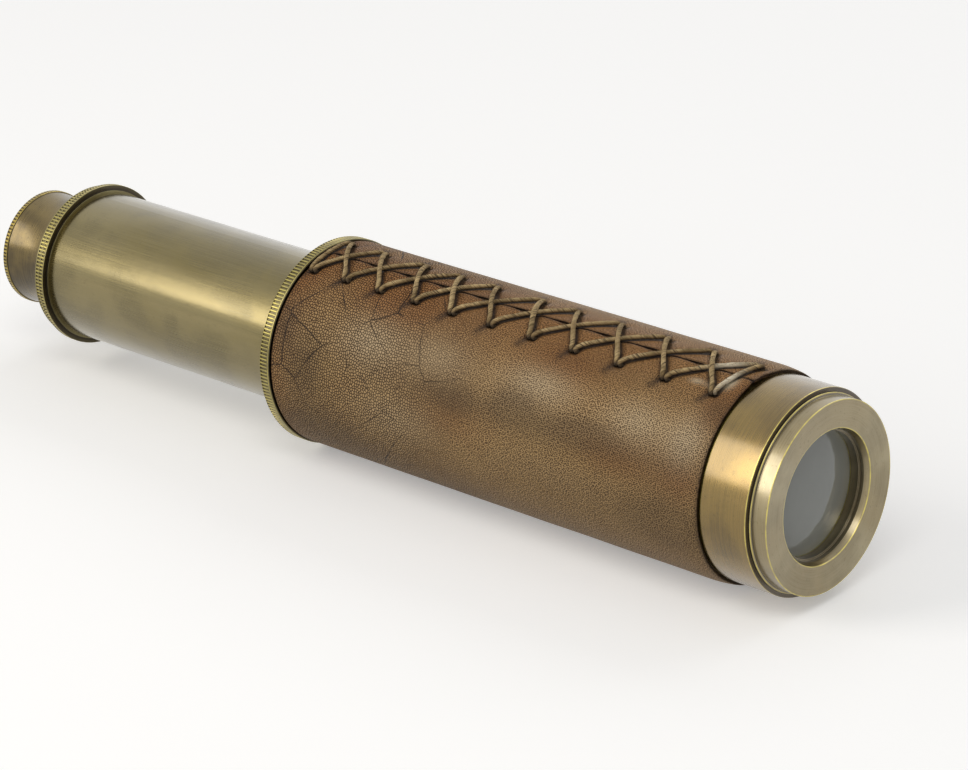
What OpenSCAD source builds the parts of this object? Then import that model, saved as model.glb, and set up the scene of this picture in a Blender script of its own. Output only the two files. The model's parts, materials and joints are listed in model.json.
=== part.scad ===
// Three-draw spyglass with a laced leather barrel, draw 1 part-way out and draws 2 and 3 shut.
// The line of sight is the X axis, +X points out of the objective, and +Z is up.
// The origin is the centre of the objective ring's front face.
// Every turned piece is drawn in its own frame, with z measured back from that face towards the eye.

/* [Barrel] */
// Outside diameter of the barrel tube, which the other diameters follow
barrel_d = 52.8; // [50:0.1:56]
// Wall of the barrel tube
barrel_wall = 0.8; // [0.7:0.05:0.9]
// Length of the barrel tube
barrel_len = 145.4; // [140:0.2:160]
// Height of the knurled rear collar above the leather
collar_step = 0.5; // [0.2:0.1:1.5]
// Length of the rear collar that shows
collar_len = 3.1; // [2.5:0.1:4]

/* [Objective end] */
// Height of the sleeve above the barrel tube
sleeve_step = 0.3; // [0.3:0.05:0.6]
// Length of the sleeve that shows between the objective ring and the leather
sleeve_len = 14.1; // [12:0.1:18]
// Length of the sleeve's spigot inside the barrel tube
sleeve_spigot = 10; // [8:0.5:10.5]
// Depth of the objective ring, the seat of a slip-on cap, below the sleeve
ring_step = 1.7; // [1.5:0.1:2]
// Length of the objective ring that shows ahead of the sleeve
ring_len = 4.9; // [4.6:0.1:6]
// Width of the ring's face, from its outside to its opening
ring_face = 8.15; // [8:0.05:9]
// Width of the bevel round the opening, measured across the face
opening_bevel = 0.75; // [0.3:0.05:1]
// Depth of that bevel
opening_bevel_depth = 1.5; // [1:0.1:1.9]
// How far the objective lenses reach under the ring's face
lens_cover = 1.65; // [1.4:0.05:1.8]
// Radius of curvature of the crown lens, both sides
crown_curve = 95; // [90:1:110]
// Thickness of the crown lens at its edge
crown_edge = 1.6; // [1.4:0.1:2.2]
// Depth of the crown lens's front edge behind the ring's face
lens_depth = 6.4; // [6.2:0.1:7]
// Thickness of the flint lens at its middle
flint_mid = 2; // [1.5:0.1:3]
// How far the glare stop's hole lies inside the lenses' edge
glare_cover = 2; // [0.8:0.1:6]

/* [Leather] */
// Thickness of the leather
leather_t = 1.6; // [1.4:0.05:1.7]
// How much thinner the leather is at its front edge
leather_skive = 0.4; // [0.1:0.05:0.5]
// Width of the butt seam under the lacing
seam_gap = 0.8; // [0.5:0.05:1.2]

/* [Lacing] */
// Thickness of the cord
cord_d = 1.25; // [1:0.05:1.3]
// Stations of the lacing along the barrel
lace_count = 11; // [9:1:11]
// Distance from the leather's front edge to the first station
lace_front_margin = 7; // [6:0.5:9]
// Distance from the last station to the leather's rear edge
lace_rear_margin = 2.35; // [2.2:0.05:6]
// How far back the middle stations lie from an even spacing
lace_bow = 4.75; // [0:0.25:6]
// Angle of the seam from the top, towards -Y where negative
seam_angle = -10; // [-30:1:30]
// Angle from the seam to each row of holes
lace_half_angle = 15.5; // [13:0.5:18]
// Spacing of the two passes of cord at one station
pass_gap = 2; // [1.9:0.05:2.1]

/* [Draws] */
// Step from the outside of the barrel tube down to the largest draw tube
draw_1_step = 5.4; // [5:0.1:6]
// Step from the largest draw tube down to the middle one
draw_2_step = 3.5; // [3.2:0.1:4]
// Step from the middle draw tube down to the smallest
draw_3_step = 3.2; // [3.2:0.1:4]
// Wall of each draw tube
draw_wall = 0.7; // [0.6:0.05:0.8]
// Length of the largest draw tube
draw_1_len = 133.4; // [125:0.2:134]
// Length of the middle draw tube
draw_2_len = 120.9; // [110:0.1:121]
// Length of the smallest draw tube
draw_3_len = 113.5; // [108:0.1:114]
// How far the largest draw stands out, from its shoulder to the rear collar
draw_1_out = 91.3; // [80:0.1:95]
// Gap between the collars of draws 1 and 2, and of draws 2 and 3, when shut
shut_gap = 0.3; // [0.2:0.05:0.5]
// Height of the knurled collar of draw 1 above its tube
draw_1_collar_step = 2.1; // [1.5:0.1:3]
// Length of that collar's knurled flange
draw_1_flange = 1.7; // [1.4:0.1:2.5]
// Height of the knurled collar of draw 2 above its tube
draw_2_collar_step = 4.7; // [3:0.1:5]
// Length of that collar's knurled flange
draw_2_flange = 3.3; // [2.5:0.1:4]
// Length of the guide inside each collar
guide_len = 13.8; // [12:0.1:14]
// Length of the stop ring at the front of each draw tube
stop_ring_len = 6; // [5:0.5:7]

/* [Eyepiece] */
// Length of the eyecup that shows
eyecup_len = 18.8; // [17:0.1:22]
// Height of the eyecup's rim above the smallest draw tube
eyecup_rim_step = 2.2; // [1.8:0.1:3]
// Height of the eyecup's waist above that tube
eyecup_waist_step = 1.3; // [0.6:0.1:1.5]
// Height of the eyecup's foot above that tube
eyecup_foot_step = 2.3; // [1.8:0.1:2.6]
// Diameter of the eye hole
eye_hole_d = 10; // [7:0.5:11]
// Diameter of the eye lens
eye_lens_d = 16; // [14:0.5:18]
// Wall of the eyepiece tube round the field lens
field_lens_wall = 0.95; // [0.8:0.05:1.5]
// Length of the eyepiece tube
eyepiece_len = 36.4; // [35:0.1:38]
// Length of the erector tube
erector_len = 42; // [40:0.5:46]
// Wall of the erector tube round its two lenses
erector_lens_wall = 1; // [0.8:0.05:1.5]

/* [Knurling] */
// Pitch of the straight knurls round the collars and the eyecup's rim
knurl_pitch = 1.03; // [0.8:0.01:1.5]
// Depth of the knurls round the collars
knurl_depth = 0.3; // [0.2:0.05:0.4]
// Depth of the lighter knurls round the eyecup's rim
rim_depth = 0.15; // [0.1:0.05:0.25]

/* [Hidden] */

// Fits: a screwed or pushed joint, a felt or collar that slides on a tube, and a stop ring in its tube
screw_gap = 0.05;
slide_gap = 0.1;
guide_gap = 0.3;
// Facets of the round forms
round_fn = 96;
// Steps of a lens surface from its middle to its edge
lens_steps = 8;
// Axial play between two pieces that only just don't touch
play = 0.05;
// Overlap of two forms that make up one piece
merge = 0.05;

// Radii of the outsides
barrel_r = barrel_d / 2;
barrel_bore_r = barrel_r - barrel_wall;
leather_r = barrel_r + leather_t;
collar_r = leather_r + collar_step;
sleeve_r = barrel_r + sleeve_step;
ring_r = sleeve_r - ring_step;
opening_r = ring_r - ring_face;
lens_r = opening_r + lens_cover;
draw_1_r = barrel_r - draw_1_step;
draw_2_r = draw_1_r - draw_2_step;
draw_3_r = draw_2_r - draw_3_step;

// Objective ring: its rear bead, the groove behind it, and the spigot that screws into the sleeve
bead_h = 0.4;
bead_len = 0.6;
ring_spigot_r = ring_r - 1;
ring_spigot_len = 4.1;
step_h = 0.55;
step_depth = 3.3;
lip_r = opening_r - step_h;

// Objective lenses: the crown's front edge, then the spacer and the flint's flat back
spacer_t = 0.15;
crown_front = lens_depth;
crown_back = crown_front + crown_edge;
flint_front = crown_back + spacer_t;
flint_back = flint_front + sag(lens_r, crown_curve) + flint_mid;
lip_back = crown_front - sag(lens_r, crown_curve) + sag(lip_r, crown_curve) - play;

// Sleeve: the bore for the ring, the seat of the lenses and the hollow behind it
sleeve_front = ring_len;
sleeve_back = sleeve_front + sleeve_len;
sleeve_end = sleeve_back + sleeve_spigot;
sleeve_chamfer = 0.35;
sleeve_pocket = sleeve_front + ring_spigot_len + play;
lens_seat_r = lens_r - 1.5;
lens_seat_len = 2;
sleeve_spigot_wall = 1.25;
sleeve_hollow_r = barrel_bore_r - screw_gap - sleeve_spigot_wall;
end_lip_h = 0.8;
end_lip_len = 0.8;
glare_t = 1;
glare_back = sleeve_end - end_lip_len;

// Barrel: the tube between the sleeve and the rear collar
barrel_back = sleeve_back + barrel_len;
collar_back = barrel_back + collar_len;
leather_front = sleeve_back + 0.25;
leather_back = barrel_back - 0.3;
skive_len = 6;
edge_round = 0.25;
cut_extra = 1;
hole_fn = 16;

// Cord: its thickness where it is pressed flat under the leather, as shares of its diameter
flat_width = 0.96;
flat_height = 0.43;
cord_r = cord_d / 2;
flat_half_w = cord_r * flat_width;
flat_half_t = cord_r * flat_height;
cord_sides = 6;

// Cord: its gaps to the leather and to the tube, and between two strands that cross
over_gap = 0.1;
under_gap = 0.14;
cross_gap = 0.2;
under_cross_gap = 0.08;
over_r = leather_r + cord_r + over_gap;
under_r = barrel_r + flat_half_t + under_gap;
turn_r = (over_r - under_r) / 2;
turn_span = turn_r * 180 / (PI * leather_r);
cross_h = cord_d + cross_gap;
under_step = 2 * flat_half_t + under_cross_gap;
end_rise = 0.52;
last = lace_count - 1;

// Cord: where its points lie along a strand, and round the turn through a hole
over_steps = [0.1, 0.3, 0.5, 0.7, 0.9];
under_steps = [0.15, 0.5, 0.85];
turn_steps = [45, 90, 135];

// Collars: the lips of each guide and the felt between them
guide_lip = 1.8;
felt_t = 1.2;
collar_chamfer = 0.15;
collar_rim = 0.25;
shoulder_h = 0.6;
shoulder_len = 0.6;
band_wall = 0.6;

// Places of the draws, shoulder to shoulder
draw_1_back = collar_back + draw_1_out;
draw_1_front = draw_1_back - draw_1_len;
draw_1_end = draw_1_back + shoulder_len + draw_1_flange;
draw_2_back = draw_1_end + shut_gap;
draw_2_front = draw_2_back - draw_2_len;
draw_2_end = draw_2_back + draw_2_flange;
draw_3_back = draw_2_end + shut_gap;
draw_3_front = draw_3_back - draw_3_len;
eyecup_back = draw_3_back + eyecup_len;
stop_lip_len = 1;

// Eyecup: its dish, its eye hole and the pocket of the eye lens
rim_len = 1.8;
rim_step = 0.3;
waist_share = 0.45;
curve_steps = 6;
dish_edge = 1.3;
dish_depth = 6.6;
dish_floor_r = eye_hole_d / 2 + 1.2;
eye_hole_len = 1.5;
eye_lens_seat = eyecup_back - dish_depth - eye_hole_len;
eye_lens_edge = 2;
eye_lens_curve = 18;
eye_lens_r = eye_lens_d / 2;
eye_lens_front = eye_lens_seat - eye_lens_edge;
lens_ring_len = 3;
lens_ring_wall = 1.4;
lens_ring_land = 0.4;
eyecup_spigot_len = 12;

// Eyepiece tube: its two pockets, with the land between them
eyepiece_r = draw_3_r - draw_wall - 1;
eyepiece_back = eye_lens_front - lens_ring_len - 2;
eyepiece_front = eyepiece_back - eyepiece_len;
field_lens_r = eyepiece_r - field_lens_wall - screw_gap;
field_pocket_len = 6;
field_lens_edge = 1.8;
field_lens_curve = 24;
field_seat = eyepiece_front + field_pocket_len;
field_lens_front = field_seat - field_lens_edge;
land_r = field_lens_r - 0.8;
field_stop_seat = field_seat + 18;
field_stop_t = 1;
field_stop_hole_r = 7;

// Erector tube: a pocket at each end and a rib for the stop between them
erector_r = draw_3_r - draw_wall - slide_gap;
erector_front = draw_3_front;
erector_back = erector_front + erector_len;
erector_lens_r = erector_r - erector_lens_wall - screw_gap;
erector_pocket_len = 6.6;
erector_lens_edge = 1.6;
erector_lens_curve = 30;
erector_land_r = erector_lens_r - 1;
erector_front_seat = erector_front + erector_pocket_len;
erector_rear_seat = erector_back - erector_pocket_len;
rib_h = 0.6;
rib_len = 1;
rib_front = (erector_front + erector_back) / 2;
erector_stop_t = 1;
erector_stop_hole_r = 4;

// How far a surface of radius of curvature c falls back at radius r
function sag(r, c) = c - sqrt(c * c - r * r);

// A lens surface from its middle to its edge at z, bulging forward (side -1) or back (side 1)
function lens_surface(r, c, z, side) =
  [for (i = [0:lens_steps]) let (x = r * i / lens_steps) [x, z + side * (sag(r, c) - sag(x, c))]];

function reversed(points) = [for (i = [len(points) - 1:-1:0]) points[i]];

// Teeth that fit round a radius at a pitch
function teeth(r, pitch) = round(2 * PI * r / pitch);

// Outline of a knurled rim, with a tip and a root for each tooth
function knurl_outline(r, depth, pitch) = let (n = teeth(r, pitch))
  [for (i = [0:2 * n - 1]) let (a = 180 * i / n, q = r - (i % 2) * depth) q * [cos(a), sin(a)]];

// Puts a piece drawn along z onto the line of sight
module on_axis() {
  rotate([0, -90, 0]) children();
}

// A turned piece from its outline of [radius, distance back from the face]
module turned(outline) {
  on_axis() rotate_extrude($fn = round_fn) polygon(outline);
}

// A knurled band round a flange
module knurled_band(r, depth, pitch, z, length) {
  on_axis() translate([0, 0, z]) linear_extrude(height = length) difference() {
    polygon(knurl_outline(r, depth, pitch));
    circle(r = r - depth - band_wall, $fn = round_fn);
  }
}

// A plain tube between two stations
module tube(outer_r, wall, front, back) {
  turned([[outer_r - wall, front], [outer_r, front], [outer_r, back], [outer_r - wall, back]]);
}

// A collar that guides a draw. Its guide, with a felt in it, lies ahead of z. Its knurled flange starts
// at flange, and the points of a shoulder may lie between the two. The knurls end at a plain rim on
// either side, or run out over a lower edge.
module slide_collar(z, shoulder, flange, flange_len, flange_r, rimmed, guide_r, draw_r) {
  bore_r = draw_r + slide_gap;
  felt_r = draw_r + felt_t;
  front = z - guide_len;
  back = flange + flange_len;
  tip_r = flange_r - merge;
  root_r = tip_r - knurl_depth;
  under_r = root_r - 2 * merge;
  rim_r = rimmed ? flange_r : root_r - merge;
  turned(concat([[bore_r, front], [guide_r, front], [guide_r, z]], shoulder,
    [[rim_r - collar_chamfer, flange], [rim_r, flange + collar_chamfer], [rim_r, flange + collar_rim],
    [under_r, flange + collar_rim], [under_r, back - collar_rim], [rim_r, back - collar_rim],
    [rim_r, back - collar_chamfer], [rim_r - collar_chamfer, back], [bore_r, back],
    [bore_r, z - guide_lip], [felt_r, z - guide_lip], [felt_r, front + guide_lip],
    [bore_r, front + guide_lip]]));
  knurled_band(tip_r, knurl_depth, knurl_pitch, flange + collar_rim, flange_len - 2 * collar_rim);
}

// The felt in such a collar
module guide_felt(z, draw_r) {
  thickness = felt_t - slide_gap - screw_gap;
  tube(draw_r + slide_gap + thickness, thickness, z - guide_len + guide_lip, z - guide_lip - play);
}

// The ring on the front of a draw tube, which slides in the next tube and stops at its collar
module stop_ring(outer_bore_r, draw_r, tube_front) {
  outer_r = outer_bore_r - guide_gap;
  edge_r = outer_r - collar_chamfer;
  lip_bore_r = draw_r - draw_wall;
  socket_r = draw_r + screw_gap;
  front = tube_front - stop_lip_len;
  back = front + stop_ring_len;
  turned([[lip_bore_r, front], [edge_r, front], [outer_r, front + collar_chamfer],
    [outer_r, back - collar_chamfer], [edge_r, back], [socket_r, back], [socket_r, tube_front],
    [lip_bore_r, tube_front]]);
}

// A threaded ring that holds a lens: it touches the lens's edge at z and stands away on the other side
module lens_ring(r, c, z, side) {
  inner_r = r - lens_ring_wall;
  land_r = r - lens_ring_land;
  lean = sag(r, c) - sag(inner_r, c) + 2 * play;
  end = z + side * lens_ring_len;
  turned([[r, z], [r, end], [inner_r, end], [inner_r, z + side * lean],
    [land_r, z + side * (sag(r, c) - sag(land_r, c))]]);
}

// A lens with one flat side at z and the other side bulging towards side
module flat_lens(r, c, z, edge, side) {
  turned(concat([[0, z], [r, z]], reversed(lens_surface(r, c, z + side * edge, side))));
}

module objective_ring() {
  spigot_end = ring_len + ring_spigot_len;
  pocket_r = lens_r + 2 * screw_gap;
  color("darkkhaki") turned([[opening_r + opening_bevel, 0], [ring_r, 0], [ring_r, ring_len - bead_len],
    [ring_r + bead_h, ring_len - bead_len + bead_h / 2], [ring_r + bead_h, ring_len],
    [ring_spigot_r, ring_len], [ring_spigot_r, spigot_end], [pocket_r, spigot_end], [pocket_r, lip_back],
    [lip_r, lip_back], [lip_r, step_depth], [opening_r, step_depth], [opening_r, opening_bevel_depth]]);
}

module objective_sleeve() {
  socket_r = ring_spigot_r + screw_gap;
  spigot_r = barrel_bore_r - screw_gap;
  seat_bore_r = lens_r + screw_gap;
  seat_back = flint_back + lens_seat_len;
  color("goldenrod") turned([[socket_r, sleeve_front], [sleeve_r - sleeve_chamfer, sleeve_front],
    [sleeve_r, sleeve_front + sleeve_chamfer], [sleeve_r, sleeve_back], [spigot_r, sleeve_back],
    [spigot_r, sleeve_end], [sleeve_hollow_r - end_lip_h, sleeve_end],
    [sleeve_hollow_r - end_lip_h, glare_back], [sleeve_hollow_r, glare_back],
    [sleeve_hollow_r, seat_back], [lens_seat_r, seat_back], [lens_seat_r, flint_back],
    [seat_bore_r, flint_back], [seat_bore_r, sleeve_pocket], [socket_r, sleeve_pocket]]);
}

module crown_lens() {
  color("lightsteelblue") turned(concat(lens_surface(lens_r, crown_curve, crown_front, -1),
    reversed(lens_surface(lens_r, crown_curve, crown_back, 1))));
}

module lens_spacer() {
  hole_r = lens_r * (1 - 1 / lens_steps);
  lean = sag(lens_r, crown_curve) - sag(hole_r, crown_curve);
  color("silver") turned([[hole_r, crown_back + lean], [lens_r, crown_back], [lens_r, flint_front],
    [hole_r, flint_front + lean]]);
}

module flint_lens() {
  color("lightsteelblue") turned(concat(lens_surface(lens_r, crown_curve, flint_front, 1),
    [[lens_r, flint_back], [0, flint_back]]));
}

module glare_stop() {
  color("dimgray") tube(sleeve_hollow_r - screw_gap, sleeve_hollow_r - screw_gap - lens_r + glare_cover,
    glare_back - glare_t, glare_back);
}

module barrel_tube() {
  color("peru") tube(barrel_r, barrel_wall, sleeve_back, barrel_back);
}

// Place of a lacing station, counted from the front
function station(k) = let (t = k / last)
  mix(leather_front + lace_front_margin, leather_back - lace_rear_margin, t) + 4 * lace_bow * t * (1 - t);

// The two holes of a station in each row: the fore one and the aft one
function fore(k) = station(k) - pass_gap / 2;
function aft(k) = station(k) + pass_gap / 2;

// Angle of a row of holes: side -1 is the row towards -Y and 1 the row past the seam
function row_angle(side) = seam_angle + side * lace_half_angle;

// Where the straight part of a strand begins or ends at a row
function strand_angle(side) = row_angle(side) - side * turn_span;

// A point on the barrel at radius r, angle a from the top and z back from the face
function on_barrel(r, a, z) = [r * cos(a), r * sin(a), z];

function mix(a, b, t) = a + (b - a) * t;

module leather_sheath() {
  hole_r = cord_r + screw_gap;
  skived_r = leather_r - leather_skive;
  color("sienna") difference() {
    turned([[barrel_r, leather_front], [skived_r - edge_round, leather_front],
      [skived_r, leather_front + edge_round], [leather_r, leather_front + skive_len],
      [leather_r, leather_back - edge_round], [leather_r - edge_round, leather_back],
      [barrel_r, leather_back]]);
    on_axis() rotate([0, 0, seam_angle])
      translate([barrel_r - cut_extra, -seam_gap / 2, leather_front - cut_extra])
      cube([leather_t + 2 * cut_extra, seam_gap, leather_back - leather_front + 2 * cut_extra]);
    for (k = [0:lace_count - 1], side = [-1, 1], z = [fore(k), aft(k)])
      on_axis() rotate([0, 0, row_angle(side)]) translate([barrel_r - cut_extra, 0, z])
        rotate([0, 90, 0]) cylinder(r = hole_r, h = leather_t + 2 * cut_extra, $fn = hole_fn);
  }
}

// Over the leather, from the far row at z0 to the near row at z1
function over_strand(z0, z1, rise) = [for (t = over_steps) let (a = mix(strand_angle(1), strand_angle(-1), t))
  concat(on_barrel(over_r + rise * sin(180 * t), a, mix(z0, z1, t)), [cord_r, cord_r])];

// Under the leather, from the near row at z0 to the far row at z1
function under_strand(z0, z1, rise) = [for (t = under_steps) let (
    a = mix(strand_angle(-1), strand_angle(1), t),
    lift = rise * (t == 0.5 ? 1 : end_rise))
  concat(on_barrel(under_r + lift, a, mix(z0, z1, t)), [flat_half_w, flat_half_t])];

// Through a hole: down at the near row, up at the far row
function hole_turn(side, z) = [for (i = [0:2]) let (
    t = turn_steps[side < 0 ? i : 2 - i],
    down = t / 180,
    a = strand_angle(side) + side * turn_span * sin(t))
  concat(on_barrel(under_r + turn_r + turn_r * cos(t), a, z),
    [mix(cord_r, flat_half_w, down), mix(cord_r, flat_half_t, down)])];

// One stitch: over from z0 to z1, down, under to z2 and up
function stitch(z0, z1, z2, rise, under_rise) = concat(over_strand(z0, z1, rise), hole_turn(-1, z1),
  under_strand(z1, z2, under_rise), hole_turn(1, z2));

// The cord is one length. It starts under the leather at the front and works its way to the rear, where
// it lies once straight across. It comes back over its own first crossings and ends at the front.
lace_start = [for (i = [1, 2]) under_strand(aft(0), aft(0), 0)[i]];
rearward = [for (k = [0:last - 1]) each stitch(aft(k), fore(k + 1), aft(k + 1), 0, 0)];
rear_bar = stitch(aft(last), aft(last), fore(last), 0, under_step);
forward = [for (k = [last:-1:1]) each stitch(fore(k), aft(k - 1), fore(k - 1), cross_h, under_step)];
front_bar = over_strand(fore(0), fore(0), 0);
lace_end = [for (i = [0, 1]) hole_turn(-1, fore(0))[i]];
lacing_route = concat(lace_start, hole_turn(1, aft(0)), rearward, rear_bar, forward, front_bar, lace_end);

function unit(v) = v / norm(v);

function place(p) = [p[0], p[1], p[2]];

// A ring of the cord round a point of its route, square to the route, its wide side along the barrel
function cord_ring(route, i) = let (
    ahead = place(route[min(i + 1, len(route) - 1)]),
    behind = place(route[max(i - 1, 0)]),
    along = unit(ahead - behind),
    axis = [0, 0, 1],
    wide = unit(axis - (axis * along) * along),
    thick = cross(along, wide))
  [for (j = [0:cord_sides - 1]) let (a = 360 * j / cord_sides)
    place(route[i]) + route[i][3] * cos(a) * wide + route[i][4] * sin(a) * thick];

module lacing_cord() {
  n = len(lacing_route);
  m = cord_sides;
  points = [for (i = [0:n - 1]) each cord_ring(lacing_route, i)];
  sides = [for (i = [0:n - 2], j = [0:m - 1]) let (a = i * m + j, b = i * m + (j + 1) % m)
    each [[a, b, b + m], [a, b + m, a + m]]];
  front_cap = [for (j = [m - 1:-1:0]) j];
  end_cap = [for (j = [0:m - 1]) (n - 1) * m + j];
  color("tan") on_axis() polyhedron(points, concat(sides, [front_cap], [end_cap]));
}

module rear_collar() {
  color("olive") slide_collar(barrel_back, [], barrel_back, collar_len, collar_r, false,
    barrel_bore_r - screw_gap, draw_1_r);
}

module barrel_felt() {
  color("darkgreen") guide_felt(barrel_back, draw_1_r);
}

module draw_1_tube() {
  color("darkkhaki") tube(draw_1_r, draw_wall, draw_1_front, draw_1_back);
}

module draw_1_stop_ring() {
  color("darkkhaki") stop_ring(barrel_bore_r, draw_1_r, draw_1_front);
}

module draw_1_collar() {
  shoulder_r = draw_1_r + shoulder_h;
  flange = draw_1_back + shoulder_len;
  color("olive") slide_collar(draw_1_back, [[shoulder_r, draw_1_back], [shoulder_r, flange]], flange,
    draw_1_flange, draw_1_r + draw_1_collar_step, true, draw_1_r - draw_wall - screw_gap, draw_2_r);
}

module draw_1_felt() {
  color("darkgreen") guide_felt(draw_1_back, draw_2_r);
}

module draw_2_tube() {
  color("darkkhaki") tube(draw_2_r, draw_wall, draw_2_front, draw_2_back);
}

module draw_2_stop_ring() {
  color("darkkhaki") stop_ring(draw_1_r - draw_wall, draw_2_r, draw_2_front);
}

module draw_2_collar() {
  color("olive") slide_collar(draw_2_back, [], draw_2_back, draw_2_flange,
    draw_2_r + draw_2_collar_step, true, draw_2_r - draw_wall - screw_gap, draw_3_r);
}

module draw_2_felt() {
  color("darkgreen") guide_felt(draw_2_back, draw_3_r);
}

module draw_3_tube() {
  color("darkkhaki") tube(draw_3_r, draw_wall, draw_3_front, draw_3_back);
}

module draw_3_stop_ring() {
  color("darkkhaki") stop_ring(draw_2_r - draw_wall, draw_3_r, draw_3_front);
}

// A quarter of the eyecup's cove, from r0 at z0 to the waist's r1 at z1
function cove(r0, r1, z0, z1) = [for (i = [0:curve_steps]) let (t = i / curve_steps)
  [r1 + (r0 - r1) * (1 - sin(90 * t)), mix(z0, z1, t)]];

// The eyecup's dish, from its edge down to its floor
function dish(edge_r, floor_r, z0, z1) = [for (i = [0:curve_steps]) let (t = i / curve_steps)
  [mix(edge_r, floor_r, 1 - cos(90 * t)), mix(z0, z1, sin(90 * t))]];

module eyecup() {
  waist_r = draw_3_r + eyecup_waist_step;
  rim_r = draw_3_r + eyecup_rim_step;
  under_r = rim_r - rim_depth - merge;
  waist = mix(draw_3_back, eyecup_back, waist_share);
  rim_front = eyecup_back - rim_len;
  spigot_r = draw_3_r - draw_wall - screw_gap;
  spigot_front = draw_3_back - eyecup_spigot_len;
  pocket_r = eyepiece_r + screw_gap;
  dish_r = rim_r - dish_edge;
  color("darkgoldenrod") {
    turned(concat(
      [[pocket_r, spigot_front], [spigot_r, spigot_front], [spigot_r, draw_3_back]],
      cove(draw_3_r + eyecup_foot_step, waist_r, draw_3_back, waist),
      reversed(cove(rim_r - rim_step, waist_r, rim_front, waist)),
      [[under_r, rim_front], [under_r, eyecup_back - edge_round], [under_r - edge_round, eyecup_back],
       [dish_r + edge_round, eyecup_back]],
      dish(dish_r, dish_floor_r, eyecup_back - edge_round, eyecup_back - dish_depth),
      [[eye_hole_d / 2, eyecup_back - dish_depth], [eye_hole_d / 2, eye_lens_seat],
       [eye_lens_r + screw_gap, eye_lens_seat], [eye_lens_r + screw_gap, eyepiece_back],
       [pocket_r, eyepiece_back]]));
    knurled_band(rim_r, rim_depth, knurl_pitch, rim_front + edge_round, rim_len - 2 * edge_round);
  }
}

module eye_lens() {
  color("lightsteelblue") flat_lens(eye_lens_r, eye_lens_curve, eye_lens_seat, eye_lens_edge, -1);
}

module eye_lens_ring() {
  color("dimgray") lens_ring(eye_lens_r, eye_lens_curve, eye_lens_front, -1);
}

module eyepiece_tube() {
  pocket_r = field_lens_r + screw_gap;
  color("dimgray") turned([[pocket_r, eyepiece_front], [eyepiece_r, eyepiece_front],
    [eyepiece_r, eyepiece_back], [pocket_r, eyepiece_back], [pocket_r, field_stop_seat],
    [land_r, field_stop_seat], [land_r, field_seat], [pocket_r, field_seat]]);
}

module field_stop() {
  color("black") tube(field_lens_r, field_lens_r - field_stop_hole_r,
    field_stop_seat, field_stop_seat + field_stop_t);
}

module field_lens() {
  color("lightsteelblue") flat_lens(field_lens_r, field_lens_curve, field_seat, field_lens_edge, -1);
}

module field_lens_ring() {
  color("dimgray") lens_ring(field_lens_r, field_lens_curve, field_lens_front, -1);
}

module erector_tube() {
  pocket_r = erector_lens_r + screw_gap;
  rib_r = erector_land_r - rib_h;
  color("dimgray") turned([[pocket_r, erector_front], [erector_r, erector_front], [erector_r, erector_back],
    [pocket_r, erector_back], [pocket_r, erector_rear_seat], [erector_land_r, erector_rear_seat],
    [erector_land_r, rib_front + rib_len], [rib_r, rib_front + rib_len], [rib_r, rib_front],
    [erector_land_r, rib_front], [erector_land_r, erector_front_seat], [pocket_r, erector_front_seat]]);
}

module erector_stop() {
  stop_r = erector_land_r - screw_gap;
  color("black") tube(stop_r, stop_r - erector_stop_hole_r, rib_front - erector_stop_t, rib_front);
}

module erector_front_lens() {
  color("lightsteelblue")
    flat_lens(erector_lens_r, erector_lens_curve, erector_front_seat, erector_lens_edge, -1);
}

module erector_front_ring() {
  color("dimgray")
    lens_ring(erector_lens_r, erector_lens_curve, erector_front_seat - erector_lens_edge, -1);
}

module erector_rear_lens() {
  color("lightsteelblue")
    flat_lens(erector_lens_r, erector_lens_curve, erector_rear_seat, erector_lens_edge, 1);
}

module erector_rear_ring() {
  color("dimgray")
    lens_ring(erector_lens_r, erector_lens_curve, erector_rear_seat + erector_lens_edge, 1);
}

objective_ring();
objective_sleeve();
crown_lens();
lens_spacer();
flint_lens();
glare_stop();
barrel_tube();
leather_sheath();
lacing_cord();
rear_collar();
barrel_felt();
draw_1_tube();
draw_1_stop_ring();
draw_1_collar();
draw_1_felt();
draw_2_tube();
draw_2_stop_ring();
draw_2_collar();
draw_2_felt();
draw_3_tube();
draw_3_stop_ring();
eyecup();
eye_lens();
eye_lens_ring();
eyepiece_tube();
field_stop();
field_lens();
field_lens_ring();
erector_tube();
erector_stop();
erector_front_lens();
erector_front_ring();
erector_rear_lens();
erector_rear_ring();
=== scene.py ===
"""A hand-held three-draw spyglass in brass and laced leather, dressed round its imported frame.

Outlines and other lengths are in millimetres: s is measured back from the front ring's face and r
out from the line of sight. Angles go round the barrel from the top towards +Y.
"""

import json
import math

import bmesh
import bpy
import numpy as np
from mathutils import Matrix, Vector


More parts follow.
